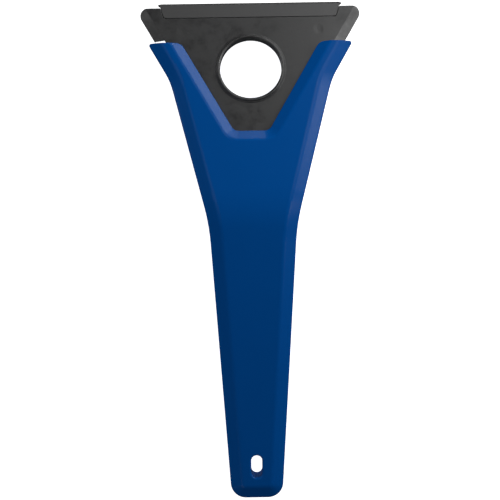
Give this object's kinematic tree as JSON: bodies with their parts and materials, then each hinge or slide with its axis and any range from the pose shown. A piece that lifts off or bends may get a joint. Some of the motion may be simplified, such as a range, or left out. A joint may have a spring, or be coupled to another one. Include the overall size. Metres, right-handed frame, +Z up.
{
  "type": "windshield ice scraper",
  "caption": "Hand scraper: a three-edged plate with a toothed blade, a smooth blade and a rubber lip, pushed into the V-shaped jaws of a bent handle with a hanging slot.",
  "frame": {"origin": "on the surface that the scraper lies on, under the middle of its overall box", "axes": "+Z up and out of the scraper's front, +Y from the tail of the handle to the working lip, +X to the right seen from the front"},
  "size_m": [0.1106, 0.249, 0.0259],
  "materials": {
    "handle_abs": "satin",
    "plate_plastic": "fine grain",
    "lip_rubber": "smooth",
    "screw_steel": "zinc plated"
  },
  "bodies": {
    "handle": {"front_shell": "handle_abs", "rear_shell": "handle_abs", "tail_screw": "screw_steel", "grip_screw": "screw_steel", "neck_screw_left": "screw_steel", "neck_screw_right": "screw_steel"},
    "blade": {"scraper_plate": "plate_plastic", "squeegee_lip": "lip_rubber"}
  },
  "joints": [
    {"name": "blade_slide", "type": "slide", "parent": "handle", "child": "blade", "axis": [0, 0.9903, -0.1388], "range_m": [0, 0.084]}
  ]
}
